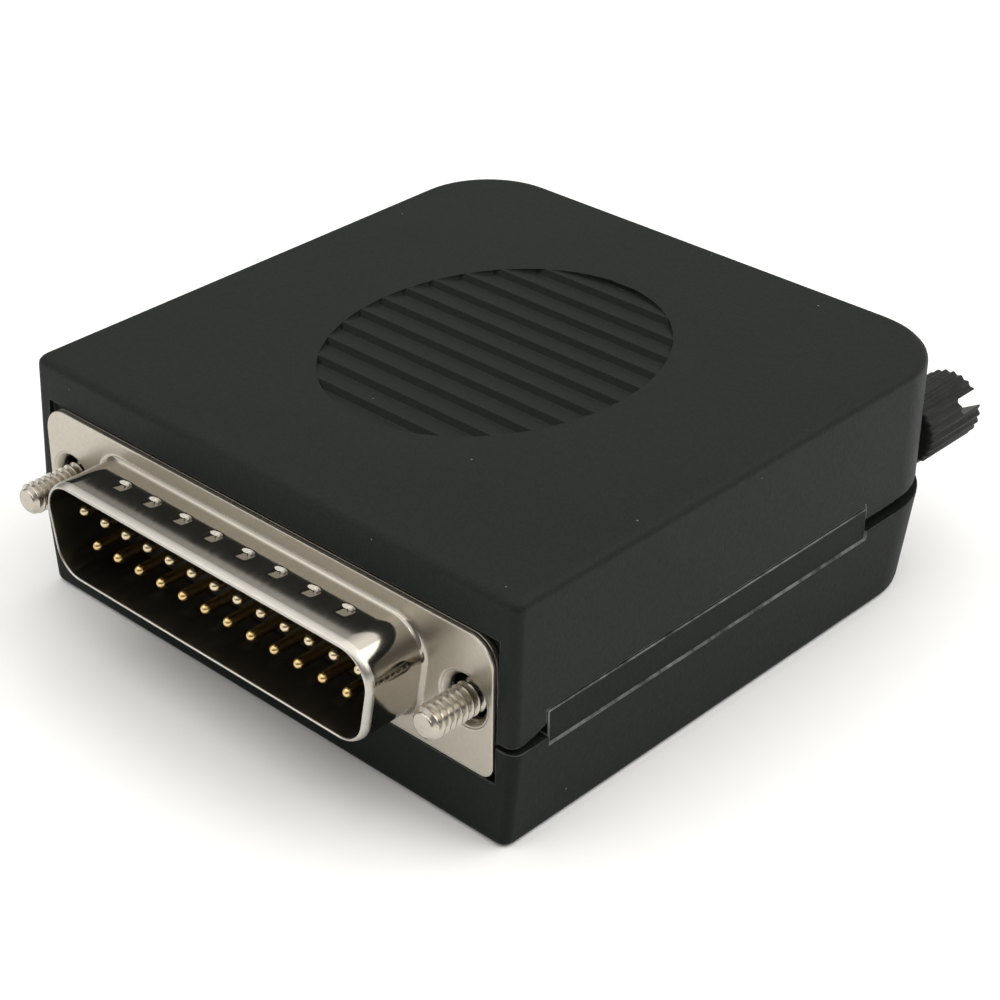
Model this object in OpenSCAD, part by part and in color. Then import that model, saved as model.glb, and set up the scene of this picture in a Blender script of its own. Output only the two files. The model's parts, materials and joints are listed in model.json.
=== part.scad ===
// 25-way D-subminiature plug in a two-shell hood with two long jackscrews.
// Frame: origin at the centre of the connector flange's front face, +X along the
// pin rows, +Y into the hood, +Z up. Millimetres. The hood stands on its flat base.

/* [Hood] */
// Half width of the upper shell at the seam
hood_w = 28.4; // [28:0.1:29.5]
// How much each side of the upper shell leans in by the top
lean_top = 0.1; // [0.1:0.1:1]
// How far the lower shell stands proud of the upper one all round
rim_step = 0.3; // [0.2:0.05:0.6]
// How much each side of the lower shell leans in by the base
lean_base = 0.9; // [0.5:0.1:1.4]
// Rear face at the seam
hood_rear = 57.1; // [56:0.1:60]
// Front face
hood_front = 0.15; // [0.05:0.05:0.4]
// Height of the top face above the connector's centre
top_z = 10.15; // [9.5:0.05:11]
// Height of the base below the connector's centre
base_z = -12.3; // [-12.8:0.05:-11]
// Radius of the two rear corners, seen from above
rear_r = 8; // [6:0.5:11]
// Radius of the two front corners, seen from above
front_r = 0.9; // [0.6:0.1:2]
// Radius of the top edge
edge_r = 0.8; // [0.6:0.1:1.4]
// Wall thickness
wall = 1.6; // [1.4:0.1:1.9]
// Top of the lower shell's rim
rim_z = -3.0; // [-3.2:0.05:-2.8]
// Bottom edge of the upper shell along the sides and the rear
skirt_z = -1.9; // [-2.1:0.05:-1.7]
// Bottom edge of the upper shell at the front face
chin_z = -2.6; // [-2.75:0.05:-2.5]

/* [Side tongues] */
// Front end of each tongue
tongue_y0 = 4.05; // [3.5:0.05:6]
// Rear end of each tongue
tongue_y1 = 44.2; // [40:0.1:46]
// Top of each tongue
tongue_top = -0.75; // [-1:0.05:-0.5]
// Bottom of the pocket that each tongue stands in
tongue_low = -3.75; // [-4:0.05:-3.5]

/* [Grip] */
// Half width of the grip oval
grip_a = 13.9; // [10:0.1:14]
// Half length of the grip oval
grip_b = 16.7; // [14:0.1:17.5]
// Centre of the oval along the hood
grip_y = 28.9; // [28:0.1:31]
// Offset of the oval to one side
grip_x = -0.3; // [-1:0.1:1]
// Spacing of the grip steps
grip_pitch = 2.86; // [2.8:0.02:3.1]
// Depth of each grip step
grip_depth = 0.45; // [0.2:0.05:0.6]
// Number of grip steps
grip_n = 11; // [9:1:11]

/* [Connector] */
// Flange length
flange_w = 53.04; // [52.8:0.01:53.3]
// Flange height
flange_h = 12.55; // [12.3:0.01:12.8]
// Radius of the flange's two upper corners
flange_r = 2.5; // [1.5:0.1:3]
// Radius of the flange's two lower corners
flange_low_r = 1.3; // [1:0.1:3]
// Thickness of each stamped shell
sheet = 0.5; // [0.4:0.05:0.55]
// Inside width of the D shroud at its wide side
d_w = 38.96; // [38.8:0.01:39.1]
// Inside height of the D shroud
d_h = 8.36; // [8.2:0.01:8.5]
// Inside corner radius of the D shroud
d_r = 2.6; // [2:0.1:2.8]
// Wall of the D shroud
d_wall = 0.42; // [0.35:0.01:0.45]
// How far the shroud stands out from the flange
d_out = 5.9; // [5.7:0.05:6.1]
// How far the pin tips stand out from the flange
pin_out = 4.5; // [4.2:0.1:4.8]
// Pin diameter
pin_d = 1.02; // [1:0.01:1.04]
// Spacing of the pins in a row
pitch = 2.76; // [2.74:0.01:2.77]
// Spacing of the two rows
row = 2.84; // [2.82:0.01:2.86]

/* [Jackscrews] */
// Half the spacing of the jackscrews
screw_x = 23.52; // [23.45:0.01:23.6]
// Height of the jackscrew axes as they lie in their eyelets
screw_z = -0.15; // [-0.3:0.05:0]
// Thread outside diameter
thread_d = 2.84; // [2.8:0.01:2.86]
// How far the left thread stands out from the flange
left_out = 5.0; // [4:0.1:5.4]
// How far the right thread stands out from the flange
right_out = 4.4; // [4:0.1:5.4]
// Length from thread end to the front of the head
shank_l = 60.75; // [60.5:0.05:62]
// Head diameter over the ridges
head_d = 6.44; // [5.5:0.02:6.6]
// Head length
head_l = 7.55; // [7:0.05:9]
// Number of ridges round the head
ridges = 24; // [18:1:28]
// Screwdriver slot width
slot_w = 1.5; // [1:0.1:1.6]
// Screwdriver slot depth
slot_d = 2.7; // [1.5:0.1:3]
// Turn of the slot about the screw axis
slot_turn = 30; // [0:5:90]

/* [Hidden] */
black = "#2b2d2c";
nickel = "#b0aca0";
brass = "#d9b66a";
// eyelet bore in the flange, and the clip's place behind the thread end
eye_r = 1.9;
// plain shank, at the diameter that a rolled thread is made from
shank_r = 1.2;
clip_at = 18.6;
// floor of the knobs' recesses in the rear of the hood
seat_y = 55.3;
clip_t = 0.6;
cable_r = 4.5;
cable_z = -2.45;
post_xy = [[16, 21], [16, 50], [-16, 21], [-16, 50]];

// ---- outlines ----
// arc of n steps round c, from angle a0 to a1
function arc(c, r, a0, a1, n = 9) =
  [for (i = [0:n]) let (a = a0 + (a1 - a0) * i / n) [c[0] + r * cos(a), c[1] + r * sin(a)]];
// the hood seen from above: half width w, front y0, rear y1, corner radii
function plan(w, y0, y1, rf, rb) = concat(
  arc([w - rf, y0 + rf], rf, -90, 0, 6), arc([w - rb, y1 - rb], rb, 0, 90, 14),
  arc([-w + rb, y1 - rb], rb, 90, 180, 14), arc([-w + rf, y0 + rf], rf, 180, 270, 6));
// a rounded rectangle about the origin
function rrect(w, h, r) = concat(
  arc([w/2 - r, -h/2 + r], r, -90, 0), arc([w/2 - r, h/2 - r], r, 0, 90),
  arc([-w/2 + r, h/2 - r], r, 90, 180), arc([-w/2 + r, -h/2 + r], r, 180, 270));
// the flange outline: wide corners above, tight ones below
function frect(w, h, r = flange_r, q = flange_low_r) = concat(
  arc([w/2 - q, -h/2 + q], q, -90, 0), arc([w/2 - r, h/2 - r], r, 0, 90),
  arc([-w/2 + r, h/2 - r], r, 90, 180), arc([-w/2 + q, -h/2 + q], q, 180, 270));
// the D outline, wide side up, sides leaning 10 degrees, grown by o all round
function dee(o, w = d_w, h = d_h, r = d_r) =
  let (t = tan(10), k = 1 / cos(10), R = r + o,
       xt = w/2 - r * t - r * k, xb = w/2 - (h - r) * t - r * k, z = h/2 - r)
  concat(arc([xb, -z], R, -90, -10, 10), arc([xt, z], R, -10, 90, 12),
         arc([-xt, z], R, 90, 190, 12), arc([-xb, -z], R, 190, 270, 10));

// ---- helpers ----
// a flat outline in X and Z, carried from y0 to y1
module along_y(y0, y1) { translate([0, y1, 0]) rotate([90, 0, 0]) linear_extrude(y1 - y0) children(); }
// a flat outline in Y and Z, carried from x0 to x1
module along_x(x0, x1) { translate([x0, 0, 0]) rotate([90, 0, 90]) linear_extrude(x1 - x0) children(); }
// a turned shape about the Y direction, profile as [radius, y]
module turned(p) { rotate([-90, 0, 0]) rotate_extrude($fn = 48) polygon(p); }
module rod(r, y0, y1, x = 0, z = 0) { translate([x, y0, z]) rotate([-90, 0, 0]) cylinder(r = r, h = y1 - y0, $fn = 48); }
// one ring of the shroud wall after another, joined end to end
module ring_wall(rings) {
  n = len(dee(0)); m = len(rings);
  polyhedron(
    points = [for (q = rings) for (p = dee(q[1])) [p[0], q[0], p[1]]],
    faces = [for (j = [0:m - 1]) for (i = [0:n - 1])
      [j * n + i, ((j + 1) % m) * n + i, ((j + 1) % m) * n + (i + 1) % n, j * n + (i + 1) % n]],
    convexity = 6);
}
module both() { children(); mirror([1, 0, 0]) children(); }

// ---- hood ----
function lean(z) = z > rim_z ? lean_top * (z - rim_z) / (top_z - rim_z) : 0;
// outside of the upper shell: leaning walls and a rounded top edge
module upper_out() {
  hull() {
    translate([0, 0, rim_z - 0.5]) linear_extrude(0.01) polygon(plan(hood_w, hood_front, hood_rear, front_r, rear_r));
    for (a = [0:22.5:90]) {
      i = edge_r * (1 - cos(a)); z = top_z - edge_r + edge_r * sin(a) - 0.01;
      l = lean(z) + i;
      translate([0, 0, z]) linear_extrude(0.01)
        polygon(plan(hood_w - l, hood_front + 0.5 + i, hood_rear - l * 0.7 - i * 0.3, front_r, rear_r - 0.3));
    }
  }
}
module upper_in() {
  hull() {
    translate([0, 0, rim_z - 1]) linear_extrude(0.01) polygon(plan(hood_w - wall, 2.6, hood_rear - wall, 0.6, rear_r - wall));
    translate([0, 0, top_z - 1.8]) linear_extrude(0.01)
      polygon(plan(hood_w - lean_top - wall - 0.3, 2.6, hood_rear - wall - 0.8, 0.6, rear_r - wall - 0.3));
  }
}
// outside of the lower shell: leaning walls and a small rounded base edge
lo_w = hood_w + rim_step;
lo_rear = hood_rear + rim_step * 0.8;
module lower_out() {
  hull() {
    translate([0, 0, rim_z - 0.01]) linear_extrude(0.01) polygon(plan(lo_w, hood_front - 0.05, lo_rear, front_r, rear_r + 0.3));
    for (a = [0:30:90]) {
      i = 0.6 * (1 - cos(a));
      translate([0, 0, base_z + 0.6 - 0.6 * sin(a)]) linear_extrude(0.01)
        polygon(plan(lo_w - lean_base - i, hood_front - 0.1 + i, lo_rear - 0.4 - i, front_r, rear_r + 0.3 - i));
    }
  }
}
module lower_in() {
  hull() {
    translate([0, 0, rim_z + 5]) linear_extrude(0.01) polygon(plan(hood_w - wall - 0.6, 2.6, hood_rear - wall - 0.7, 0.6, rear_r - wall));
    translate([0, 0, base_z + 1.8]) linear_extrude(0.01)
      polygon(plan(lo_w - lean_base - wall - 0.35, 2.6, lo_rear - wall - 1.0, 0.6, rear_r - wall - 0.5));
  }
}
// the opening that the flange sits in, the way through behind it,
// and the passages for the two jackscrews
module front_cut() {
  along_y(-1, 2 * sheet + 0.08) square([flange_w + 0.24, flange_h + 0.24], center = true);
  along_y(0, 3) polygon(rrect(43, 11.8, 2));
  both() rod(2.9, 0, 3.2, screw_x, 0);
  both() translate([19, 0, -2.9]) cube([screw_x - 19, 3.2, 5.8]);
}
module shaft_cut() {
  both() rod(2.0, 50, 62, screw_x, screw_z);
  both() rod(head_d/2 + 0.38, seat_y, 62, screw_x, screw_z);
}
// walls stay thick in front of the recesses that the knobs run in
module bosses() { both() rod(4.6, seat_y - 1.7, 60, screw_x, screw_z); }
module cable_cut() { rod(cable_r, 52, 62, 0, cable_z); }
// one sawtooth step of the grip: steep in front of each crest, then a long rise
module grip_cut() {
  intersection() {
    translate([grip_x, grip_y, top_z - 1]) linear_extrude(2)
      polygon([for (i = [0:71]) [grip_a * cos(i * 5), grip_b * sin(i * 5)]]);
    along_x(-20, 20) for (k = [0:grip_n]) {
      y = grip_y + (k - (grip_n - 1) / 2) * grip_pitch;
      polygon([[y, top_z + 0.2], [y, top_z], [y - 0.6, top_z - grip_depth],
               [y - grip_pitch + 0.1, top_z], [y - grip_pitch + 0.1, top_z + 0.2]]);
    }
  }
}
module upper_shell() color(black) {
  difference() {
    union() {
      difference() {
        upper_out();
        difference() { upper_in(); bosses(); }
        // lower edge: full depth at the front face, raised along the sides and rear
        along_x(-40, 40) polygon([[-2, -9], [-2, chin_z], [1.4, chin_z], [2.7, -2.35],
                                  [3.9, skirt_z], [70, skirt_z], [70, -9]]);
        // rebate on the inside for the lower shell's lip
        translate([0, 0, rim_z - 1]) linear_extrude(1 - rim_z - 0.9)
          polygon(plan(hood_w - 0.85, 2.6, hood_rear - 0.85, 0.6, rear_r - 0.85));
      }
      // locating pins that drop into the lower shell's posts
      for (p = post_xy) translate([p[0], p[1], 0.2]) cylinder(r = 1.0, h = top_z - 1.8, $fn = 32);
      for (p = post_xy) translate([p[0], p[1], 1.6]) cylinder(r = 2.0, h = top_z - 3.3, $fn = 32);
    }
    front_cut();
    shaft_cut();
    cable_cut();
    grip_cut();
    // windows for the side tongues
    both() translate([hood_w - wall - 1, tongue_y0 - 0.06, rim_z - 2])
      cube([6, tongue_y1 - tongue_y0 + 0.12, tongue_top + 0.06 - rim_z + 2]);
    // jackscrew notches stay open below
    both() translate([screw_x - 2.0, 50, rim_z - 1]) cube([4.0, 12, screw_z - rim_z + 1]);
  }
}
// a saddle across the jackscrew, open above
module saddle(y0, y1) {
  difference() {
    translate([20.0, y0, base_z + 1]) cube([26.4 - 20.0, y1 - y0, 1.85 - base_z - 1]);
    rod(1.65, y0 - 1, y1 + 1, screw_x, screw_z);
    translate([screw_x - 1.65, y0 - 1, screw_z]) cube([3.3, y1 - y0 + 2, 8]);
  }
}
module lower_shell() color(black) {
  difference() {
    union() {
      difference() {
        union() {
          lower_out();
          // inner lip that the upper shell closes over
          translate([0, 0, rim_z - 0.5]) linear_extrude(0.5 - rim_z - 1.1)
            polygon(plan(hood_w - 1.0, 2.6, hood_rear - 1.0, 0.6, rear_r - 1.0));
        }
        difference() { lower_in(); bosses(); }
        // pocket in the outside face below each tongue
        both() translate([hood_w + 0.08, tongue_y0, tongue_low]) cube([3, tongue_y1 - tongue_y0, 6]);
      }
      // side tongues
      both() translate([hood_w - wall - 0.7, tongue_y0, tongue_low])
        cube([wall + 0.78, tongue_y1 - tongue_y0, tongue_top - tongue_low]);
      both() saddle(8.6, 10.1);
      both() saddle(18.4, 19.9);
      both() saddle(47.0, 48.5);
      for (p = post_xy) translate([p[0], p[1], base_z + 1]) cylinder(r = 2.2, h = 1.2 - base_z - 1, $fn = 32);
    }
    front_cut();
    shaft_cut();
    cable_cut();
    for (p = post_xy) translate([p[0], p[1], -3]) cylinder(r = 1.15, h = 6, $fn = 32);
  }
}

// ---- connector ----
// countersunk seat for an eyelet
module seat(x) translate([x, 0, 0]) turned([[0, -0.01], [2.55, -0.01], [2.12, 0.42], [2.12, 1], [0, 1]]);
dimple_x = [for (i = [0:7]) (i - 3.5) * 3.8 + 0.15];
module front_shell() color(nickel) {
  difference() {
    union() {
      along_y(0, sheet) difference() { polygon(frect(flange_w, flange_h)); polygon(dee(0)); }
      // shroud: root radius, straight wall, rounded rim, then back inside
      ring_wall(concat(
        [[0.25, 0.15], [0.25, d_wall + 0.5]],
        [for (a = [0:15:90]) [-0.5 * (1 - cos(a)), d_wall + 0.5 * (1 - sin(a))]],
        [[-1.2, d_wall], [-(d_out - 0.9), d_wall]],
        [for (a = [18:18:90]) [-(d_out - 0.9) - 0.9 * sin(a), d_wall - (d_wall - 0.06) * (1 - cos(a))]],
        [[-d_out, 0.02], [-d_out + 0.15, 0]]));
      // dimple backs, standing in from the shroud wall
      for (s = [1, -1]) for (x = dimple_x) translate([x * (s > 0 ? 1 : 0.96), -2.6, s * (d_h/2 + 0.42)])
        rotate([0, 90, 0]) cylinder(r = 0.62, h = 1.3, center = true, $fn = 24);
    }
    // dimples in the outside of both long walls
    for (s = [1, -1]) for (x = dimple_x) translate([x * (s > 0 ? 1 : 0.96), -2.6, s * (d_h/2 + 0.92)])
      rotate([0, 90, 0]) cylinder(r = 0.72, h = 1.3, center = true, $fn = 24);
    for (s = [1, -1]) along_y(-5, -0.6) translate([0, s * (d_h/2 + d_wall + 2)]) square([34, 4], center = true);
    both() seat(screw_x);
  }
}
module eyelet(x) translate([x, 0, 0])
  turned([[eye_r, 1.0], [eye_r, 0.62], [2.30, 0.1], [2.42, 0.06], [2.02, 0.5], [2.02, 0.55], [2.6, 0.55], [2.6, 1.0]]);
module rear_shell() color(nickel) {
  difference() {
    along_y(sheet, 2 * sheet) difference() {
      polygon(frect(flange_w, flange_h));
      polygon(dee(0.95));
    }
    both() rod(2.3, 0, 2, screw_x, 0);
  }
  both() eyelet(screw_x);
  // collar round the insulators, turned in at the rear
  along_y(sheet + 0.1, 5.4) difference() { polygon(dee(1.35)); polygon(dee(0.92)); }
  along_y(4.95, 5.4) difference() { polygon(dee(1.35)); polygon(dee(-0.4)); }
}
function pin_x(i) = i <= 13 ? (i - 7) * pitch : (i - 19.5) * pitch;
function pin_z(i) = i <= 13 ? row / 2 : -row / 2;
module pin_holes(r, y0, y1) for (i = [1:25]) rod(r, y0, y1, pin_x(i), pin_z(i));
module front_insulator() color("#1c1c1a") {
  difference() {
    union() {
      along_y(0.35, 1.0) polygon(dee(-0.12));
      along_y(0.56, 2.9) polygon(dee(0.84));
    }
    pin_holes(0.56, 0, 4);
    pin_holes(0.9, 2.1, 4);
  }
}
module rear_insulator() color("#1c1c1a") {
  difference() {
    union() {
      along_y(2.95, 4.9) polygon(dee(0.84));
      along_y(4.8, 7.2) polygon(dee(-0.5));
    }
    pin_holes(0.9, 2, 3.7);
    pin_holes(0.72, 2, 8);
  }
}
// a turned contact: round-nosed pin, shoulder between the insulators, solder cup
module contact(x, z) color(brass) translate([x, 0, z]) {
  r = pin_d / 2; t = -pin_out;
  difference() {
    turned(concat([[0, t]],
      [for (a = [15:15:90]) [r * sin(a), t + 0.62 * (1 - cos(a))]],
      [[r, 2.2], [0.84, 2.2], [0.84, 3.6], [0.66, 3.6], [0.66, 7.4], [0.85, 7.7], [0.85, 11.0], [0, 11.0]]));
    rod(0.6, 8.2, 12);
    translate([-1, 8.6, 0.15]) cube([2, 3, 2]);
  }
}

// ---- jackscrews ----
// placed with the thread end at y = t
module jackscrew(x, t) color(nickel) translate([x, t, screw_z]) {
  r = thread_d / 2;
  turned([[0, 0], [r - 0.35, 0], [r, 0.35], [r, -t - 0.15], [shank_r, -t + 0.07], [shank_r, clip_at], [0.85, clip_at],
          [0.85, clip_at + clip_t + 0.06], [shank_r, clip_at + clip_t + 0.06], [shank_r, shank_l + 4.3], [0, shank_l + 4.3]]);
}
// black head with straight ridges and a screwdriver slot
module knob(x, t) color("#242625") translate([x, t, screw_z]) {
  R = head_d / 2;
  difference() {
    union() {
      along_y(shank_l, shank_l + head_l)
        polygon([for (i = [0:ridges * 6 - 1]) let (a = i * 60 / ridges, q = R - 0.11 * (1 - cos(a * ridges))) [q * cos(a), q * sin(a)]]);
    }
    rod(shank_r, shank_l - 1, shank_l + 4.3);
    translate([0, shank_l + head_l, 0]) rotate([0, -slot_turn, 0])
      translate([-5, -slot_d, -slot_w / 2]) cube([10, 5, slot_w]);
  }
}
// spring clip in the shank's groove, open on one side
module clip(x, t) color(nickel) translate([x, t + clip_at + 0.03, screw_z]) {
  difference() {
    rod(2.4, 0, clip_t);
    rod(0.9, -1, clip_t + 1);
    translate([-0.7, -1, -3]) cube([1.4, clip_t + 2, 3]);
  }
}
module pin_n(i) contact(pin_x(i), pin_z(i));

upper_shell();
lower_shell();
front_shell();
rear_shell();
front_insulator();
rear_insulator();
pin_n(1);  // pin_01
pin_n(2);  // pin_02
pin_n(3);  // pin_03
pin_n(4);  // pin_04
pin_n(5);  // pin_05
pin_n(6);  // pin_06
pin_n(7);  // pin_07
pin_n(8);  // pin_08
pin_n(9);  // pin_09
pin_n(10);  // pin_10
pin_n(11);  // pin_11
pin_n(12);  // pin_12
pin_n(13);  // pin_13
pin_n(14);  // pin_14
pin_n(15);  // pin_15
pin_n(16);  // pin_16
pin_n(17);  // pin_17
pin_n(18);  // pin_18
pin_n(19);  // pin_19
pin_n(20);  // pin_20
pin_n(21);  // pin_21
pin_n(22);  // pin_22
pin_n(23);  // pin_23
pin_n(24);  // pin_24
pin_n(25);  // pin_25
jackscrew(-screw_x, -left_out);  // left_jackscrew
jackscrew(screw_x, -right_out);  // right_jackscrew
knob(-screw_x, -left_out);  // left_knob
knob(screw_x, -right_out);  // right_knob
clip(-screw_x, -left_out);  // left_clip
clip(screw_x, -right_out);  // right_clip
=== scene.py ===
"""Looks for the 25-way D-subminiature plug: a two-shell hood, a nickel connector and two long jackscrews."""

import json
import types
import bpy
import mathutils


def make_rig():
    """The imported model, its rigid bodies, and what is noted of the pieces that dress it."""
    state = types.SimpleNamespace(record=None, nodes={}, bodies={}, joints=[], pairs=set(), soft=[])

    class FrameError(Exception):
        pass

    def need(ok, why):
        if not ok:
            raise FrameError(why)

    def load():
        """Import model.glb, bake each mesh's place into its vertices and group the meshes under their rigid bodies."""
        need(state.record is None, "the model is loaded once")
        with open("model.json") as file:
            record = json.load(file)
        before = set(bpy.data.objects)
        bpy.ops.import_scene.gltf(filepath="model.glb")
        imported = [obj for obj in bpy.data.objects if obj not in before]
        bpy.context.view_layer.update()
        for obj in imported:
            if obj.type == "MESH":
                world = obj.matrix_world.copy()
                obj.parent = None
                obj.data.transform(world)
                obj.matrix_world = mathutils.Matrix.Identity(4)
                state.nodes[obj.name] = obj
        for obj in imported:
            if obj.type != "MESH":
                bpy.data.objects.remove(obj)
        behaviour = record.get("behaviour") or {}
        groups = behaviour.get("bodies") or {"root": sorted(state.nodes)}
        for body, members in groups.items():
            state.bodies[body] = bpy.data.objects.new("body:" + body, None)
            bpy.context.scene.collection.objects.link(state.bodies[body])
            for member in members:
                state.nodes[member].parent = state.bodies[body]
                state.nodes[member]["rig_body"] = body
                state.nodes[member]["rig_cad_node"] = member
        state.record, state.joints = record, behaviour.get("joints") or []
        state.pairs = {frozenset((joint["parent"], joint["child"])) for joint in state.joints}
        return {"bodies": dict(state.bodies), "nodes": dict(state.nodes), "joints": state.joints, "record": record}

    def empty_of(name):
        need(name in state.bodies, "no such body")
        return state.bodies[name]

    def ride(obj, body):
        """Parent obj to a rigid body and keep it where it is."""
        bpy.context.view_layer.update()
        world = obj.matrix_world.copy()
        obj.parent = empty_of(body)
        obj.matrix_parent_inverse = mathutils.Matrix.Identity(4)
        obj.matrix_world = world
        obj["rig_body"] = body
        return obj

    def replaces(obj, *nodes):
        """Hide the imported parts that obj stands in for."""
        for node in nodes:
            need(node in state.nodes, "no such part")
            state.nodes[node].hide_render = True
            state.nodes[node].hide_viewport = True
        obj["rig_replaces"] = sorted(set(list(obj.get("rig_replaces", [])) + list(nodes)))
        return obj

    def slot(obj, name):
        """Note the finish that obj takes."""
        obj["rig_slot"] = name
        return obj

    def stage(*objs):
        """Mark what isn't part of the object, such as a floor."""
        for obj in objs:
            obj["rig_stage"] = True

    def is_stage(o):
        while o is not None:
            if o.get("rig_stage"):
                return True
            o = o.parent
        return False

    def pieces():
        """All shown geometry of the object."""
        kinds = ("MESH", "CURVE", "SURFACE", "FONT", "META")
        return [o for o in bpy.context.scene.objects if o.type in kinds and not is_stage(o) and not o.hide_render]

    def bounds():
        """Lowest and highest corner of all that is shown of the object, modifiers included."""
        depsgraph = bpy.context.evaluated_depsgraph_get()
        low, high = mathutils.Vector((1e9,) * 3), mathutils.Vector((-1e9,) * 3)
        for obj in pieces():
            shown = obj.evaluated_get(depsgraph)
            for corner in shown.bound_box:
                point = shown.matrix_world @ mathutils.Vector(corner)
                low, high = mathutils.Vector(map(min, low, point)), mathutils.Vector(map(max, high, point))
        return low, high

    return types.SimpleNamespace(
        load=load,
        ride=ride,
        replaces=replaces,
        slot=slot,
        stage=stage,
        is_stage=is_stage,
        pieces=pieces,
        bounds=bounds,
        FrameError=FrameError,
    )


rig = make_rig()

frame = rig.load()
CAD_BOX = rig.bounds()

import json
import math
import random

import bmesh
import bpy
from mathutils import Matrix, Vector

MM = 0.001
NODES = frame["nodes"]
scene = bpy.context.scene


# ---------------------------------------------------------------- camera
def make_camera():
    data = bpy.data.cameras.new("camera")
    data.sensor_fit = "HORIZONTAL"
    data.sensor_width = 36.0
    data.lens = 86.054
    data.shift_x = 0.1002
    data.shift_y = 0.0324
    data.clip_start = 0.01
    data.clip_end = 20.0
    cam = bpy.data.objects.new("camera", data)
    scene.collection.objects.link(cam)
    x, y, z = (0.7056, 0.7085, -0.0161), (-0.3659, 0.3837, 0.8478), (0.6068, -0.5923, 0.5300)
    p = (0.12426, -0.10468, 0.10561)
    cam.matrix_world = Matrix([[x[i], y[i], z[i], p[i]] for i in range(3)] + [[0, 0, 0, 1]])
    scene.camera = cam


# ---------------------------------------------------------------- materials
class Tree:
    """A small helper for one material's node tree. Object coordinates are in metres, in the row's frame."""

    def __init__(self, name):
        self.mat = bpy.data.materials.new(name)
        self.mat.use_nodes = True
        self.nt = self.mat.node_tree
        self.nt.nodes.clear()
        self.out = self.add("ShaderNodeOutputMaterial")
        self.p = self.add("ShaderNodeBsdfPrincipled")
        self.link(self.p.outputs["BSDF"], self.out.inputs["Surface"])
        self.coord = self.add("ShaderNodeTexCoord").outputs["Object"]

    def add(self, kind, **props):
        n = self.nt.nodes.new(kind)
        for k, v in props.items():
            setattr(n, k, v)
        return n

    def link(self, a, b):
        self.nt.links.new(a, b)

    def set(self, **values):
        for k, v in values.items():
            self.p.inputs[k.replace("_", " ")].default_value = v

    def place(self, scale=(1, 1, 1), rot=(0, 0, 0), at=(0, 0, 0)):
        m = self.add("ShaderNodeMapping")
        m.inputs["Scale"].default_value = scale
        m.inputs["Rotation"].default_value = rot
        m.inputs["Location"].default_value = at
        self.link(self.coord, m.inputs["Vector"])
        return m.outputs["Vector"]

    def noise(self, scale, detail=2.0, rough=0.5, vec=None, distort=0.0):
        n = self.add("ShaderNodeTexNoise")
        n.inputs["Scale"].default_value = scale
        n.inputs["Detail"].default_value = detail
        n.inputs["Roughness"].default_value = rough
        n.inputs["Distortion"].default_value = distort
        self.link(vec or self.coord, n.inputs["Vector"])
        return n.outputs["Fac"]

    def voronoi(self, scale, vec=None, feature="F1"):
        n = self.add("ShaderNodeTexVoronoi", feature=feature)
        n.inputs["Scale"].default_value = scale
        self.link(vec or self.coord, n.inputs["Vector"])
        return n

    def ramp(self, fac, stops):
        n = self.add("ShaderNodeValToRGB")
        e = n.color_ramp.elements
        while len(e) < len(stops):
            e.new(0.5)
        for el, (pos, v) in zip(e, stops):
            el.position = pos
            el.color = v if hasattr(v, "__len__") else (v, v, v, 1)
        self.link(fac, n.inputs["Fac"])
        return n.outputs["Color"]

    def math(self, op, a, b=None, clamp=False):
        n = self.add("ShaderNodeMath", operation=op, use_clamp=clamp)
        for i, v in enumerate((a, b)):
            if v is None:
                continue
            if isinstance(v, (int, float)):
                n.inputs[i].default_value = v
            else:
                self.link(v, n.inputs[i])
        return n.outputs["Value"]

    def mix(self, fac, a, b):
        n = self.add("ShaderNodeMix", data_type="RGBA")
        for i, v in ((0, fac), (6, a), (7, b)):
            if isinstance(v, (int, float)):
                n.inputs[i].default_value = v
            elif hasattr(v, "links"):
                self.link(v, n.inputs[i])
            else:
                n.inputs[i].default_value = (*v, 1) if len(v) == 3 else v
        return n.outputs[2]

    def bump(self, height, strength, dist, normal=None):
        n = self.add("ShaderNodeBump")
        n.inputs["Strength"].default_value = strength
        n.inputs["Distance"].default_value = dist
        self.link(height, n.inputs["Height"])
        if normal is not None:
            self.link(normal, n.inputs["Normal"])
        return n.outputs["Normal"]


def hood_plastic(name, base, wear_and_highlight=0.0, pale=0.085, spec=0.17):
    """Matt moulded plastic: fine spark-eroded grain, faint mottling, dust and, where asked, paler and smoother patches:
    wear on the edges and knob, and a painted highlight on the tongues' edges.
    """
    t = Tree(name)
    big = t.noise(55, 3, 0.55)
    fine = t.noise(5200, 2, 0.6)
    speck = t.voronoi(260)
    near = t.math("LESS_THAN", speck.outputs["Distance"], 0.022)
    c = t.mix(t.ramp(big, [(0.35, 0.0), (0.65, 1.0)]), tuple(v * 0.95 for v in base), tuple(v * 1.06 for v in base))
    c = t.mix(t.ramp(fine, [(0.42, 0.0), (0.66, 0.55)]), c, tuple(v * 1.9 for v in base))
    # paler, smoother patches: wear on edges, and on the tongues' edges a painted highlight
    if wear_and_highlight:
        w = t.noise(420, 4, 0.7)
        c = t.mix(t.ramp(w, [(0.36, 0.15 * wear_and_highlight), (0.62, wear_and_highlight)]), c, (pale, pale * 1.02, pale * 0.96))
    c = t.mix(near, c, (0.16, 0.16, 0.15))
    t.link(c, t.p.inputs["Base Color"])
    r = t.ramp(t.noise(2600, 3, 0.6), [(0.3, 0.50 - 0.1 * bool(wear_and_highlight)), (0.7, 0.58 - 0.1 * bool(wear_and_highlight))])
    t.link(r, t.p.inputs["Roughness"])
    n = t.bump(t.noise(4200, 3, 0.65), 0.42, 0.00005)
    t.link(n, t.p.inputs["Normal"])
    t.set(IOR=1.46)
    t.p.inputs["Specular IOR Level"].default_value = spec
    return t.mat


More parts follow.
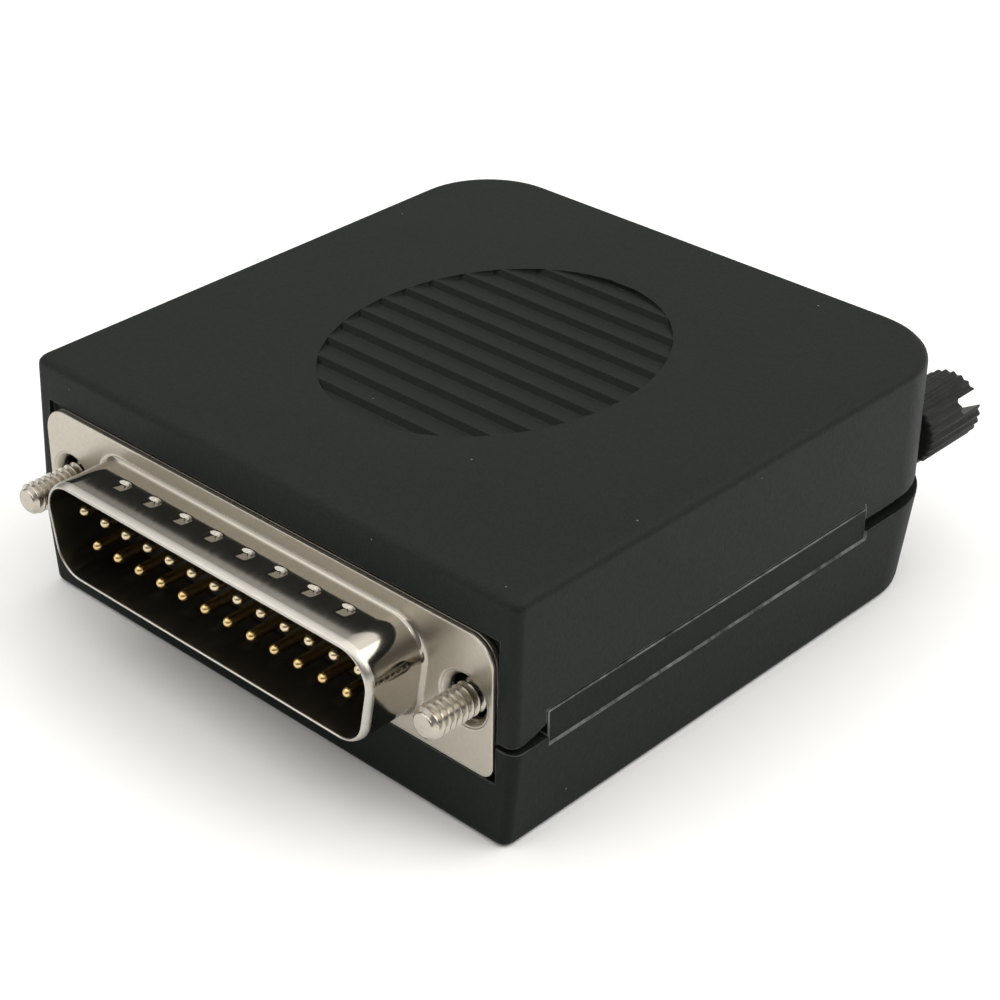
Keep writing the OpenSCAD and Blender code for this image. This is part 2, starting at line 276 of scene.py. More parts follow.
def metal(name, base, rough, grain=(1, 1, 1), grain_scale=2500, spread=0.06, bump=0.05, tint=0.06, blotch=90):
    """Plated metal: a directional grain in roughness and bump, and slow changes of tone."""
    t = Tree(name)
    v = t.place(scale=grain)
    g = t.noise(grain_scale, 3, 0.6, vec=v)
    slow = t.noise(blotch, 3, 0.6)
    c = t.mix(t.ramp(slow, [(0.3, 0.0), (0.7, 1.0)]), tuple(x * (1 - tint) for x in base), tuple(min(1, x * (1 + tint)) for x in base))
    c = t.mix(t.ramp(g, [(0.35, 0.0), (0.7, 0.18)]), c, tuple(x * 0.72 for x in base))
    t.link(c, t.p.inputs["Base Color"])
    r = t.math("ADD", t.ramp(g, [(0.3, max(0.02, rough - spread)), (0.7, rough + spread)]), t.math("MULTIPLY", slow, 0.06))
    t.link(r, t.p.inputs["Roughness"])
    n = t.bump(g, bump, 0.00003)
    t.link(n, t.p.inputs["Normal"])
    t.set(Metallic=1.0)
    return t.mat


def dark_plastic(name, base, rough=0.45):
    """Glass-filled insulator plastic: near black, faint fibre flecks."""
    t = Tree(name)
    f = t.noise(3000, 3, 0.7, vec=t.place(scale=(1, 1, 0.35)))
    c = t.mix(t.ramp(f, [(0.45, 0.0), (0.75, 0.4)]), base, tuple(v * 2.5 for v in base))
    t.link(c, t.p.inputs["Base Color"])
    t.link(t.ramp(t.noise(1200, 2), [(0.3, rough - 0.06), (0.7, rough + 0.06)]), t.p.inputs["Roughness"])
    t.link(t.bump(f, 0.12, 0.00003), t.p.inputs["Normal"])
    return t.mat


# ---------------------------------------------------------------- mesh helpers
def obj_from_bm(bm, name, mats, body, slot, sharp=32, weighted=True):
    """One finished piece: welded, smooth with hard edges kept, riding on a body. The mesh is in metres."""
    me = bpy.data.meshes.new(name)
    bm.normal_update()
    bm.to_mesh(me)
    bm.free()
    return obj_from_mesh(me, name, mats, body, slot, sharp, weighted)


def obj_from_mesh(me, name, mats, body, slot, sharp=32, weighted=True):
    o = bpy.data.objects.new(name, me)
    scene.collection.objects.link(o)
    if not me.materials:
        for m in mats:
            me.materials.append(m)
        me.polygons.foreach_set("use_smooth", [True] * len(me.polygons))
        me.set_sharp_from_angle(angle=math.radians(sharp))
    if weighted:
        w = o.modifiers.new("weighted", "WEIGHTED_NORMAL")
        w.keep_sharp = True
        w.weight = 80
    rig.ride(o, body)
    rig.slot(o, slot)
    return o


def mesh_mm(verts, faces):
    bm = bmesh.new()
    vs = [bm.verts.new((x * MM, y * MM, z * MM)) for x, y, z in verts]
    for f in faces:
        bm.faces.new([vs[i] for i in f])
    return bm


def clean(bm, dist=1e-6):
    bmesh.ops.remove_doubles(bm, verts=bm.verts, dist=dist)
    bmesh.ops.dissolve_degenerate(bm, dist=1e-7, edges=bm.edges)
    bmesh.ops.recalc_face_normals(bm, faces=bm.faces)


def lathe(profile, n=48, at=(0, 0), shape=None):
    """A turned solid about Y. profile is [(radius, y)] in mm from one end on the axis to the other, or a closed ring.
    shape(angle, r, y) may change a radius."""
    closed = profile[0] != profile[-1] and profile[0][0] > 1e-9
    verts, faces = [], []
    rings = []
    for r, y in profile:
        if r < 1e-9:
            rings.append([len(verts)])
            verts.append((at[0], y, at[1]))
        else:
            ring = []
            for i in range(n):
                a = 2 * math.pi * i / n
                q = shape(a, r, y) if shape else r
                ring.append(len(verts))
                verts.append((at[0] + q * math.cos(a), y, at[1] + q * math.sin(a)))
            rings.append(ring)
    pairs = list(zip(rings, rings[1:])) + ([(rings[-1], rings[0])] if closed else [])
    for a, b in pairs:
        if len(a) == 1 and len(b) == 1:
            continue
        for i in range(n):
            j = (i + 1) % n
            if len(a) == 1:
                faces.append((a[0], b[j], b[i]))
            elif len(b) == 1:
                faces.append((a[i], a[j], b[0]))
            else:
                faces.append((a[i], a[j], b[j], b[i]))
    bm = mesh_mm(verts, faces)
    bmesh.ops.recalc_face_normals(bm, faces=bm.faces)
    return bm


def arc(cx, cz, r, a0, a1, n):
    return [(cx + r * math.cos(math.radians(a0 + (a1 - a0) * i / n)), cz + r * math.sin(math.radians(a0 + (a1 - a0) * i / n))) for i in range(n + 1)]


def rrect(w, h, r, n=10, low=None):
    q = low or r
    return (arc(w / 2 - q, -h / 2 + q, q, -90, 0, n) + arc(w / 2 - r, h / 2 - r, r, 0, 90, n)
            + arc(-w / 2 + r, h / 2 - r, r, 90, 180, n) + arc(-w / 2 + q, -h / 2 + q, q, 180, 270, n))


D_W, D_H, D_R = 38.96, 8.36, 2.6


def dee(o, long_n=1, side_n=1, arc_n=14):
    """The D outline, wide side up, grown by o all round. Straight runs are split so that rings of it can be lofted."""
    t, k = math.tan(math.radians(10)), 1 / math.cos(math.radians(10))
    R = D_R + o
    xt, xb, z = D_W / 2 - D_R * t - D_R * k, D_W / 2 - (D_H - D_R) * t - D_R * k, D_H / 2 - D_R
    parts = [(arc(xb, -z, R, -90, -10, arc_n), side_n), (arc(xt, z, R, -10, 90, arc_n), long_n),
             (arc(-xt, z, R, 90, 190, arc_n), side_n), (arc(-xb, -z, R, 190, 270, arc_n), long_n)]
    pts = []
    for i, (a, m) in enumerate(parts):
        pts += a
        p, q = a[-1], parts[(i + 1) % 4][0][0]
        pts += [(p[0] + (q[0] - p[0]) * j / m, p[1] + (q[1] - p[1]) * j / m) for j in range(1, m)]
    return pts


def bridge(faces, a, b, closed=True):
    n = len(a)
    for i in range(n if closed else n - 1):
        j = (i + 1) % n
        faces.append((a[i], a[j], b[j], b[i]))


# ---------------------------------------------------------------- hood
GRIP_A, GRIP_B, GRIP_X, GRIP_Y, GRIP_PITCH, GRIP_DEPTH, TOP_Z = 13.9, 16.7, -0.3, 28.9, 2.86, 0.45, 10.15


def grip_depth(y):
    """Depth of the sawtooth below the top face, its crests and valleys softened over 0.12 mm."""
    def raw(v):
        s = (GRIP_Y - 5 * GRIP_PITCH - v) % GRIP_PITCH
        if s < 0.60:
            return GRIP_DEPTH * s / 0.60
        return max(0.0, GRIP_DEPTH * (1 - (s - 0.60) / (GRIP_PITCH - 0.70)))
    return sum(raw(y + 0.06 * (k / 4 - 1)) for k in range(9)) / 9


def regrip(bm):
    """Swaps the CAD's top face and grip for the same shape in clean rows: a flat face round an oval of softened steps."""
    gone = []
    for f in bm.faces:
        zs = [v.co.z / MM for v in f.verts]
        c = f.calc_center_median() / MM
        inside = ((c.x - GRIP_X) / GRIP_A) ** 2 + ((c.y - GRIP_Y) / GRIP_B) ** 2 < 1.03
        if min(zs) > TOP_Z - 0.002 or (inside and min(zs) > TOP_Z - GRIP_DEPTH - 0.03):
            gone.append(f)
    bmesh.ops.delete(bm, geom=gone, context="FACES")
    loose = [e for e in bm.edges if not e.link_faces]
    bmesh.ops.delete(bm, geom=loose, context="EDGES")
    bmesh.ops.delete(bm, geom=[v for v in bm.verts if not v.link_faces], context="VERTS")
    outer = [e for e in bm.edges if e.is_boundary]
    ys = set()
    y_lo, y_hi = GRIP_Y - GRIP_B, GRIP_Y + GRIP_B
    for k in range(-1, 13):
        y0 = GRIP_Y + (k - 5) * GRIP_PITCH
        for s in (0, 0.03, 0.06, 0.10, 0.15, 0.25, 0.40, 0.51, 0.56, 0.60, 0.64, 0.70, 1.0, 1.4, 1.8, 2.2, 2.62, 2.68, 2.72, 2.76, 2.80):
            ys.add(round(y0 - s, 4))
    for i in range(1, 36):
        t = math.radians(i * 5)
        ys.add(round(GRIP_Y - GRIP_B * math.cos(t), 4))
    ys = sorted(v for v in ys if y_lo + 0.02 < v < y_hi - 0.02)
    rows, last = [], -99
    for y in ys:
        if y - last < 0.022:
            continue
        last = y
        w = GRIP_A * math.sqrt(1 - ((y - GRIP_Y) / GRIP_B) ** 2)
        d = grip_depth(y)
        if d < 0.0015:
            d = 0.0015
        c = min(0.06, d * 0.5)
        xs = [(-w - 0.05, 0.0), (-w - 0.012, c * 0.25), (-w, c), (-w + 0.01, d - c * 0.4), (-w + 0.07, d),
              (w - 0.07, d), (w - 0.01, d - c * 0.4), (w, c), (w + 0.012, c * 0.25), (w + 0.05, 0.0)]
        rows.append([bm.verts.new(((GRIP_X + x) * MM, y * MM, (TOP_Z - z) * MM)) for x, z in xs])
    made = []
    for a, b in zip(rows, rows[1:]):
        # steep faces of the steps take a darker copy of the plastic: painted shade in the grip's steps
        steep = (a[4].co.z - b[4].co.z) / (b[4].co.y - a[4].co.y) < -0.42
        for i in range(len(a) - 1):
            made.append(bm.faces.new([a[i], a[i + 1], b[i + 1], b[i]]))
            if steep:
                made[-1].material_index = 3
    made.append(bm.faces.new(rows[0][::-1]))
    made.append(bm.faces.new(rows[-1]))
    ring = [r[0] for r in rows] + [r[-1] for r in rows[::-1]]
    inner = []
    for p, q in zip(ring, ring[1:] + ring[:1]):
        inner.append(bm.edges.get((p, q)) or bm.edges.new((p, q)))
    bmesh.ops.triangle_fill(bm, use_beauty=True, use_dissolve=False, edges=outer + inner)
    bmesh.ops.recalc_face_normals(bm, faces=bm.faces)


def hood_piece(node, name, mats, offset=0.11):
    """The CAD shell with its long edges rounded as moulded ones are. Faces made by the rounding take the worn plastic."""
    bm = bmesh.new()
    bm.from_mesh(NODES[node].data)
    bmesh.ops.remove_doubles(bm, verts=bm.verts, dist=2e-6)
    bmesh.ops.dissolve_limit(bm, angle_limit=math.radians(0.3), use_dissolve_boundaries=False, verts=bm.verts, edges=bm.edges, delimit=set())
    for f in bm.faces:
        f.material_index = 0
    if node == "upper_shell":
        regrip(bm)
    pick = []
    for e in bm.edges:
        if not e.is_manifold or e.calc_face_angle(0) < math.radians(30):
            continue
        m = (e.verts[0].co + e.verts[1].co) / 2 / MM
        if m.z > TOP_Z - 1 and ((m.x - GRIP_X) / (GRIP_A + 0.4)) ** 2 + ((m.y - GRIP_Y) / (GRIP_B + 0.4)) ** 2 < 1:
            continue
        if abs(m.x) > 27.2 or m.y < 2.0 or m.y > 55.8 or m.z > 9.2 or m.z < -11.2:
            pick.append(e)
    bmesh.ops.bevel(bm, geom=pick, offset=offset * MM, offset_type="OFFSET", segments=2, profile=0.5, affect="EDGES",
                    clamp_overlap=False, material=1, loop_slide=True, mark_seam=False, mark_sharp=False, harden_normals=False)
    # the tongues' edges take a paler plastic than the rest: a painted highlight along them, broken up by wear noise
    for f in bm.faces:
        c = f.calc_center_median() / MM
        if f.material_index == 1 and abs(c.x) > 27.2 and 3.6 < c.y < 44.7 and -4.0 < c.z < -0.4:
            f.material_index = 2
    o = obj_from_bm(bm, name, mats, "housing", "hood_black", sharp=40)
    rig.replaces(o, node)
    return o


# ---------------------------------------------------------------- connector front: flange and shroud in one stamped piece
FLANGE_W, FLANGE_H, FLANGE_R, FLANGE_LOW = 53.04, 12.55, 2.5, 1.3
D_WALL, D_OUT, SHEET = 0.42, 5.9, 0.5
DIMPLE_X = [(i - 3.5) * 3.8 + 0.15 for i in range(8)]


def dimple(x, y, wide):
    """Depth of the pressed dimples at a point of a long wall: a steep round back edge, then a ramp towards the rim."""
    best = 0.0
    for dx in DIMPLE_X:
        u = (x - dx * wide) / 0.66
        if abs(u) >= 1:
            continue
        back = -1.78 - 0.16 * u * u
        s = back - y
        if s < 0 or s > 1.5:
            continue
        across = (1 - u * u) ** 0.6
        rise = min(1.0, s / 0.26)
        fall = max(0.0, 1 - (s - 0.26) / 1.2) if s > 0.26 else 1.0
        best = max(best, 0.25 * across * rise * rise * (3 - 2 * rise) * fall)
    return best


def connector_front(mats):
    prof = [(0.48, 0.0), (0.30, 0.0), (-0.2, 0.0)]
    y = -0.6
    while y > -4.4:
        prof.append((y, 0.0))
        y -= 0.14
    prof += [(-4.6, 0.0), (-5.2, 0.0), (-D_OUT + 0.14, 0.0)]
    inner_n = len(prof)
    prof += [(-D_OUT + 0.05, 0.015), (-D_OUT, 0.06)]
    # rounded rim, over the last 0.9 mm of the wall
    for a in range(80, -1, -8):
        s = math.radians(a)
        prof.append((-(D_OUT - 0.75) - 0.75 * math.sin(s), 0.06 + (D_WALL - 0.06) * math.cos(s)))
    prof.append((-4.95, D_WALL))
    y = -4.4
    while y < -0.75:
        prof.append((y, D_WALL))
        y += 0.14
    # root radius up to the flange's front face
    for a in range(0, 91, 9):
        s = math.radians(a)
        prof.append((-0.5 * (1 - math.sin(s)), D_WALL + 0.5 * (1 - math.cos(s))))
    prof.append((0.0, D_WALL + 0.62))
    LONG, SIDE = 210, 6
    verts, faces, rings = [], [], []
    for k, (y, o) in enumerate(prof):
        ring = []
        for x, z in dee(o, LONG, SIDE):
            if abs(z) > D_H / 2 - 0.3 + min(o, 0) and abs(x) < 17.5:
                s = 1 if z > 0 else -1
                z -= s * dimple(x, y, 1.0 if s > 0 else 0.96)
            ring.append(len(verts))
            verts.append((x, y, z))
        rings.append(ring)
    for a, b in zip(rings, rings[1:]):
        bridge(faces, a, b)
    bm = mesh_mm(verts, faces)
    bm.verts.ensure_lookup_table()
    # the shroud's inside faces take a dark copy of the nickel: painted shade in the recess
    inner_faces = (inner_n - 1) * len(rings[0])
    for i, f in enumerate(bm.faces):
        if i < inner_faces:
            f.material_index = 3

    def loop_edges(ids):
        out = []
        for i, j in zip(ids, ids[1:] + ids[:1]):
            e = bm.edges.get((bm.verts[i], bm.verts[j])) or bm.edges.new((bm.verts[i], bm.verts[j]))
            out.append(e)
        return out

    def add_loop(pts, y):
        start = len(bm.verts)
        for x, z in pts:
            bm.verts.new((x * MM, y * MM, z * MM))
        bm.verts.ensure_lookup_table()
        return list(range(start, len(bm.verts)))

    def skirt(a, b):
        for i in range(len(a)):
            j = (i + 1) % len(a)
            bm.faces.new([bm.verts[a[i]], bm.verts[a[j]], bm.verts[b[j]], bm.verts[b[i]]])

    # outside edge of the flange, slightly rounded both sides
    edge = []
    for y, o in [(0.0, -0.26), (0.0, -0.10), (0.03, -0.03), (0.10, 0.0), (0.42, 0.0), (0.48, -0.03), (SHEET, -0.08)]:
        edge.append(add_loop(rrect(FLANGE_W + 2 * o, FLANGE_H + 2 * o, FLANGE_R + o, 14, FLANGE_LOW + o), y))
    for a, b in zip(edge, edge[1:]):
        skirt(a, b)
    front, back = [edge[0], rings[-1]], [edge[-1]]
    for s in (-1, 1):
        hole = []
        for y, r in [(0.0, 2.72), (0.0, 2.56), (0.03, 2.50), (0.42, 2.14), (SHEET, 2.13)]:
            hole.append(add_loop([(s * 23.52 + r * math.cos(2 * math.pi * i / 64), r * math.sin(2 * math.pi * i / 64)) for i in range(64)], y))
        for a, b in zip(hole, hole[1:]):
            skirt(a, b)
        front.append(hole[0])
        back.append(hole[-1])
    inner_back = add_loop(dee(0.0, LONG, SIDE), SHEET)
    skirt(rings[0], inner_back)
    back.append(inner_back)
    for loops in (front, back):
        edges = []
        for l in loops:
            edges += loop_edges(l)
        bmesh.ops.triangle_fill(bm, use_beauty=True, use_dissolve=False, edges=edges)
    clean(bm)
    for f in bm.faces:
        m = f.calc_center_median().y / MM
        if f.material_index != 3:
            f.material_index = 0 if m > -0.02 else 1 if m > -(D_OUT - 0.8) else 2
    o = obj_from_bm(bm, "connector_front", mats, "housing", "nickel", sharp=38)
    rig.replaces(o, "front_shell")
    return o


def eyelet(x, side, mats):
    prof = [(1.90, 1.0), (1.90, 0.66), (1.93, 0.56), (2.02, 0.42), (2.16, 0.26), (2.28, 0.14), (2.36, 0.085), (2.43, 0.065),
            (2.47, 0.09), (2.43, 0.16), (2.30, 0.28), (2.10, 0.46), (2.07, 0.52), (2.07, 0.56), (2.6, 0.56), (2.6, 1.0)]
    bm = lathe(prof, 96, (x, 0))
    return obj_from_bm(bm, f"eyelet_{side}", mats, "housing", "nickel", sharp=50, weighted=False)


def connector_rear(mats, ring_mats):
    """Rear plate and the collar that holds the insulators, with an eyelet rolled through each hole."""
    bm = bmesh.new()

    def add_loop(pts, y):
        return [bm.verts.new((x * MM, y * MM, z * MM)) for x, z in pts]

    def skirt(a, b):
        for i in range(len(a)):
            j = (i + 1) % len(a)
            bm.faces.new([a[i], a[j], b[j], b[i]])

    def fill(loops):
        edges = []
        for l in loops:
            for i in range(len(l)):
                p, q = l[i], l[(i + 1) % len(l)]
                edges.append(bm.edges.get((p, q)) or bm.edges.new((p, q)))
        bmesh.ops.triangle_fill(bm, use_beauty=True, use_dissolve=False, edges=edges)

    edge = [add_loop(rrect(FLANGE_W + 2 * o, FLANGE_H + 2 * o, FLANGE_R + o, 14, FLANGE_LOW + o), y)
            for y, o in [(0.5, -0.08), (0.53, -0.02), (0.58, 0.0), (0.92, 0.0), (0.97, -0.02), (1.0, -0.08)]]
    for a, b in zip(edge, edge[1:]):
        skirt(a, b)
    front, back = [edge[0]], [edge[-1]]
    for s in (-1, 1):
        hole = [add_loop([(s * 23.52 + 2.3 * math.cos(2 * math.pi * i / 64), 2.3 * math.sin(2 * math.pi * i / 64)) for i in range(64)], y) for y in (0.5, 1.0)]
        skirt(*hole)
        front.append(hole[0])
        back.append(hole[1])
    # collar: inside from the plate's front to the turned-in rear lip, then outside back to the plate
    col = [add_loop(dee(o, 20, 2), y) for y, o in [(0.5, 0.95), (0.66, 0.92), (4.9, 0.92), (4.95, 0.86), (4.95, -0.34), (5.0, -0.4),
                                                   (5.34, -0.4), (5.4, -0.34), (5.4, 1.1), (5.32, 1.28), (5.15, 1.35), (1.15, 1.35), (1.04, 1.40), (1.0, 1.5)]]
    for a, b in zip(col, col[1:]):
        skirt(a, b)
    front.append(col[0])
    back.append(col[-1])
    fill(front)
    fill(back)
    clean(bm)
    o = obj_from_bm(bm, "connector_rear", mats, "housing", "nickel", sharp=38)
    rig.replaces(o, "rear_shell")
    for s, side in ((-1, "left"), (1, "right")):
        eyelet(s * 23.52, side, ring_mats)
    return o


def pins(upper_mats, lower_mats):
    r = 0.51
    prof = [(0.0, -4.5)]
    prof += [(r * math.sin(math.radians(a)), -4.5 + 0.62 * (1 - math.cos(math.radians(a)))) for a in range(9, 91, 9)]
    prof += [(r, -3.4), (r, -1.0), (r, 2.17), (r + 0.03, 2.2), (0.81, 2.2), (0.84, 2.23), (0.84, 3.57), (0.81, 3.6), (0.69, 3.6), (0.66, 3.63),
             (0.66, 7.4), (0.85, 7.7), (0.85, 10.95), (0.82, 11.0), (0.63, 11.0), (0.6, 10.95), (0.6, 8.3), (0.5, 8.2), (0.0, 8.2)]
    meshes = {}
    for i in range(1, 26):
        top = i <= 13
        x, z = ((i - 7) * 2.76, 1.42) if top else ((i - 19.5) * 2.76, -1.42)
        bm = lathe(prof, 32, (0, 0))
        # the cup's mouth is cut open above
        me = bpy.data.meshes.new(f"contact_{i:02d}")
        cut = [f for f in bm.faces if f.calc_center_median().y > 8.6 * MM and f.calc_center_median().z > 0.22 * MM]
        bmesh.ops.delete(bm, geom=cut, context="FACES")
        edges = [e for e in bm.edges if e.is_boundary]
        if edges:
            try:
                bmesh.ops.holes_fill(bm, edges=edges, sides=0)
            except Exception:
                pass
        bmesh.ops.translate(bm, verts=bm.verts, vec=(x * MM, 0, z * MM))
        bm.to_mesh(me)
        bm.free()
        o = obj_from_mesh(me, f"contact_{i:02d}", upper_mats if top else lower_mats, "housing", "gold", sharp=40, weighted=False)
        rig.replaces(o, f"pin_{i:02d}")
        meshes[i] = o
    return meshes


# ---------------------------------------------------------------- jackscrews
SCREW_Z = -0.15


def thread_radius(u, major, minor):
    """60 degree thread with a flat crest and a rounded root, u from 0 to 1 along one pitch."""
    d = abs(u - 0.5) * 2
    k = (d - 0.14) / (0.80 - 0.14)
    k = min(1.0, max(0.0, k))
    return major + (minor - major) * (k if k < 0.92 else 0.92 + (k - 0.92) * 0.7)


THREAD_U = [0.0, 0.10, 0.20, 0.315, 0.43, 0.455, 0.50, 0.545, 0.57, 0.685, 0.80, 0.90]


def jackscrew(x, tip, side, mats):
    pitch, major, minor, length, n = 0.635, 1.42, 1.06, 8.0, 48
    turns = int(length / pitch) + 2
    verts, faces = [], []
    rows = []
    for t in range(-1, turns):
        for u in THREAD_U:
            rows.append(t + u)
    cols = len(rows)
    # helix grid: column i is an angle, and each row is carried along by its turn
    for i in range(n + 1):
        a = 2 * math.pi * i / n
        for s in rows:
            y = pitch * (s + i / n)
            r = thread_radius(s % 1.0, major, minor)
            y = min(max(y, 0.0), length)
            r = min(r, 0.98 + 1.15 * y, 1.42)
            if y > length - 0.9:
                r = min(r, 1.20 + max(0.0, (length - y)) * 0.24)
                if y >= length - 0.5:
                    r = 1.20
            verts.append((x + r * math.cos(a), tip + y, SCREW_Z + r * math.sin(a)))
    for i in range(n):
        for j in range(cols - 1):
            faces.append((i * cols + j, i * cols + j + 1, (i + 1) * cols + j + 1, (i + 1) * cols + j))
    bm = mesh_mm(verts, faces)
    bmesh.ops.remove_doubles(bm, verts=bm.verts, dist=1.5e-6)
    bmesh.ops.dissolve_degenerate(bm, dist=1e-6, edges=bm.edges)
    # weld the seam between the last column and the first, which is one turn on
    bmesh.ops.remove_doubles(bm, verts=bm.verts, dist=4e-6)
    # plain ends: tip face and shank
    shank = lathe([(0.0, 0.0), (0.90, 0.0), (0.98, 0.012), (0.99, 0.10), (0.95, 0.2), (0.95, 7.4), (1.20, 7.45), (1.20, 18.58), (1.18, 18.6), (0.85, 18.6), (0.85, 19.26),
                   (1.18, 19.26), (1.20, 19.28), (1.20, 30.0), (1.20, 45.0), (1.20, 64.95), (1.15, 65.0), (0.0, 65.0)], 48)
    bmesh.ops.translate(shank, verts=shank.verts, vec=(x * MM, tip * MM, SCREW_Z * MM))
    tmp = bpy.data.meshes.new("tmp")
    shank.to_mesh(tmp)
    shank.free()
    bm.from_mesh(tmp)
    bpy.data.meshes.remove(tmp)
    bmesh.ops.recalc_face_normals(bm, faces=bm.faces)
    o = obj_from_bm(bm, f"jackscrew_{side}", mats, f"{side}_screw", "screw_nickel", sharp=35, weighted=False)
    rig.replaces(o, f"{side}_jackscrew")
    return o


def knob(x, tip, side, mats):
    """Ridged head with a screwdriver slot across its end."""
    y0, L, R, ridges = tip + 60.75, 7.55, 3.22, 24
    n = ridges * 10

    def shape(a, r, y):
        if r < 2.0:
            return r
        d = 0.5 - 0.5 * math.cos(a * ridges)
        return r - 0.22 * d ** 0.8

    prof = [(0.0, y0), (1.30, y0), (2.55, y0), (2.98, y0 + 0.04), (3.15, y0 + 0.14), (R, y0 + 0.28), (R, y0 + L * 0.33), (R, y0 + L * 0.66),
            (R, y0 + L - 0.26), (3.16, y0 + L - 0.10), (3.04, y0 + L - 0.02), (2.85, y0 + L), (1.2, y0 + L), (0.0, y0 + L)]
    bm = lathe(prof, n, (x, SCREW_Z), shape)
    me = bpy.data.meshes.new(f"knob_{side}")
    bm.to_mesh(me)
    bm.free()
    o = obj_from_mesh(me, f"knob_{side}", mats, f"{side}_screw", "knob_black", sharp=40, weighted=False)
    # slot
    cutter = bmesh.new()
    bmesh.ops.create_cube(cutter, size=1.0)
    bmesh.ops.scale(cutter, verts=cutter.verts, vec=(10 * MM, 5.4 * MM, 1.5 * MM))
    bmesh.ops.rotate(cutter, verts=cutter.verts, cent=(0, 0, 0), matrix=Matrix.Rotation(math.radians(-30), 3, "Y"))
    bmesh.ops.translate(cutter, verts=cutter.verts, vec=(x * MM, (y0 + L) * MM, SCREW_Z * MM))
    cm = bpy.data.meshes.new("cutter")
    cutter.to_mesh(cm)
    cutter.free()
    co = bpy.data.objects.new("cutter", cm)
    scene.collection.objects.link(co)
    b = o.modifiers.new("slot", "BOOLEAN")
    b.operation, b.object, b.solver = "DIFFERENCE", co, "EXACT"
    dg = bpy.context.evaluated_depsgraph_get()
    new = bpy.data.meshes.new_from_object(o.evaluated_get(dg))
    o.modifiers.clear()
    o.data = new
    new.name = f"knob_{side}_mesh"
    bpy.data.objects.remove(co)
    new.polygons.foreach_set("use_smooth", [True] * len(new.polygons))
    new.set_sharp_from_angle(angle=math.radians(38))
    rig.replaces(o, f"{side}_knob")
    return o


def keep_cad(node, mats, bevel=0.05):
    """A CAD node that shows as it is, with its hard edges eased and a proper material."""
    o = NODES[node]
    o.data.materials.clear()
    for m in mats:
        o.data.materials.append(m)
    w = o.modifiers.new("weld", "WELD")
    w.merge_threshold = 2e-6
    b = o.modifiers.new("ease", "BEVEL")
    b.width, b.segments, b.limit_method, b.angle_limit = bevel * MM, 2, "ANGLE", math.radians(40)
    b.use_clamp_overlap = True
    n = o.modifiers.new("weighted", "WEIGHTED_NORMAL")
    n.keep_sharp = False
    return o


# ---------------------------------------------------------------- studio
def studio():
    floor_z = CAD_BOX[0].z - 0.00002
    bm = bmesh.new()
    bmesh.ops.create_grid(bm, x_segments=8, y_segments=8, size=2.5)
    me = bpy.data.meshes.new("floor")
    bm.to_mesh(me)
    bm.free()
    o = bpy.data.objects.new("floor", me)
    o.location = (0, 0, floor_z)
    scene.collection.objects.link(o)
    t = Tree("floor_paper")
    c = t.mix(t.noise(300, 3), (0.93, 0.93, 0.93), (0.95, 0.95, 0.945))
    t.link(c, t.p.inputs["Base Color"])
    t.set(Roughness=0.9)
    t.p.inputs["Specular IOR Level"].default_value = 0.1
    me.materials.append(t.mat)
    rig.stage(o)

    world = bpy.data.worlds.new("studio")
    scene.world = world
    world.use_nodes = True
    bg = world.node_tree.nodes["Background"]
    bg.inputs["Color"].default_value = (1.0, 0.99, 0.965, 1)
    # a soft overhead sky, dimmer towards the horizon and a little dimmer in front
    nt = world.node_tree
    sep = nt.nodes.new("ShaderNodeSeparateXYZ")
    nt.links.new(nt.nodes.new("ShaderNodeTexCoord").outputs["Generated"], sep.inputs[0])
    ramp = nt.nodes.new("ShaderNodeMapRange")
    ramp.interpolation_type = "SMOOTHSTEP"
    for k, v in (("From Min", 0.40), ("From Max", 0.92), ("To Min", 0.30), ("To Max", 1.66)):
        ramp.inputs[k].default_value = v
    nt.links.new(sep.outputs["Z"], ramp.inputs["Value"])
    side = nt.nodes.new("ShaderNodeMapRange")
    for k, v in (("From Min", -1.0), ("From Max", 1.0), ("To Min", 0.75), ("To Max", 1.25)):
        side.inputs[k].default_value = v
    nt.links.new(sep.outputs["Y"], side.inputs["Value"])
    mul = nt.nodes.new("ShaderNodeMath")
    mul.operation = "MULTIPLY"
    nt.links.new(ramp.outputs["Result"], mul.inputs[0])
    nt.links.new(side.outputs["Result"], mul.inputs[1])
    nt.links.new(mul.outputs["Value"], bg.inputs["Strength"])

    def area(name, at, to, size, power, colour=(1, 1, 1)):
        d = bpy.data.lights.new(name, "AREA")
        d.shape, d.size, d.size_y, d.energy, d.color = "RECTANGLE", size[0], size[1], power, colour
        l = bpy.data.objects.new(name, d)
        l.location = at
        l.rotation_euler = (Vector(to) - Vector(at)).to_track_quat("-Z", "Y").to_euler()
        scene.collection.objects.link(l)

    area("fill", (-0.36, -0.46, 0.36), (0, 0, 0), (0.70, 0.70), 1.3, (1, 0.99, 0.97))
    area("key", (0.46, 0.34, 0.52), (0, 0.02, 0), (0.60, 0.60), 2.2, (1, 0.985, 0.95))
    scene.view_settings.view_transform = "Standard"
    scene.view_settings.look = "None"


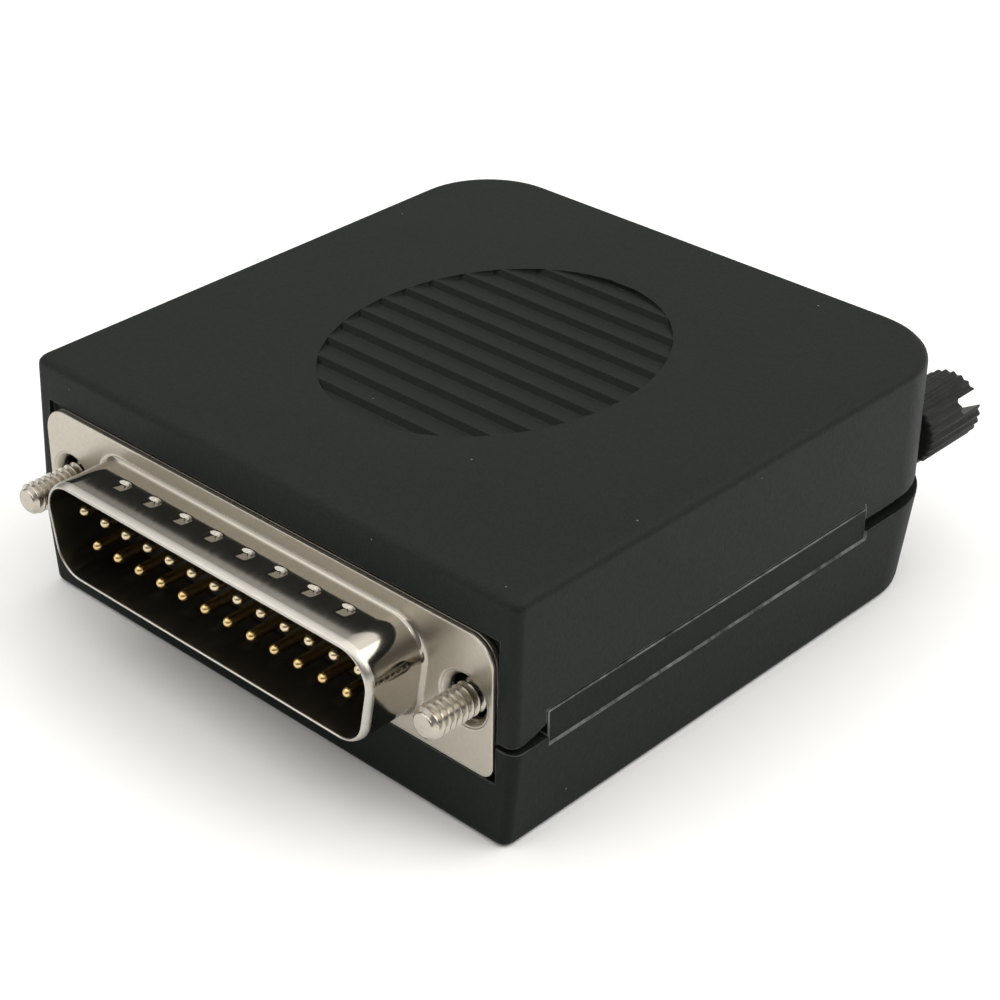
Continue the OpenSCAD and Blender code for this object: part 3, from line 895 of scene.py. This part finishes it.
def build():
    make_camera()
    studio()
    body = (0.0069, 0.0093, 0.0080)
    hood = hood_plastic("hood_plastic", body)
    wear_and_highlight = hood_plastic("hood_plastic_edge", body, wear_and_highlight=0.60, pale=0.10)
    # the lower shell's plastic, darker and less glossy than the upper's: painted shade for its sides
    lower_painted_shade = hood_plastic("hood_plastic_lower_painted_shade", (0.0064, 0.0084, 0.0073), spec=0.11)
    # darker copy of the hood plastic for the grip's steep steps: painted shade
    shade = hood_plastic("hood_plastic_step_painted_shade", (0.0046, 0.0060, 0.0053), spec=0.115)
    # paler plastic for the tongues' edges: a painted highlight, broken up by wear noise
    tongue_highlight = hood_plastic("hood_plastic_tongue_highlight", body, wear_and_highlight=0.85, pale=0.20)
    nickel = metal("nickel_stamped", (0.50, 0.465, 0.40), 0.30, grain=(1, 0.12, 1), bump=0.05)
    # dark copy of the nickel for the shroud's inside: painted shade
    inside = metal("nickel_inside_painted_shade", (0.13, 0.12, 0.10), 0.32, grain=(1, 0.12, 1), bump=0.04)
    polish = metal("nickel_drawn", (0.39, 0.362, 0.315), 0.07, grain=(1, 0.12, 1), spread=0.025, bump=0.03)
    brushed = metal("nickel_rim", (0.52, 0.495, 0.45), 0.28, grain=(0.15, 1, 1), grain_scale=5200, bump=0.10)
    steel = metal("nickel_screw", (0.50, 0.465, 0.405), 0.20, grain=(1, 0.3, 1), grain_scale=3000, bump=0.06)
    gold_pale = metal("gold_flash_pale", (0.70, 0.58, 0.38), 0.18, grain_scale=3500)
    gold = metal("gold_flash", (0.74, 0.53, 0.24), 0.18, grain_scale=3500)
    insul = dark_plastic("insulator_plastic", (0.0060, 0.0058, 0.0052))
    black = hood_plastic("knob_plastic", (0.0095, 0.0105, 0.0100), wear_and_highlight=0.12)
    hood_piece("upper_shell", "hood_upper", [hood, wear_and_highlight, tongue_highlight, shade])
    hood_piece("lower_shell", "hood_lower", [lower_painted_shade, wear_and_highlight, tongue_highlight])
    connector_front([nickel, polish, brushed, inside])
    connector_rear([nickel], [nickel])
    keep_cad("front_insulator", [insul])
    keep_cad("rear_insulator", [insul])
    pins([gold_pale], [gold])
    for side, s, tip in (("left", -1, -5.0), ("right", 1, -4.4)):
        jackscrew(s * 23.52, tip, side, [steel])
        knob(s * 23.52, tip, side, [black])
        keep_cad(f"{side}_clip", [steel])


build()
with open("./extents.json", "w") as f:
    json.dump({"cad": [list(v) for v in CAD_BOX], "visual": [list(v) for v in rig.bounds()]}, f)
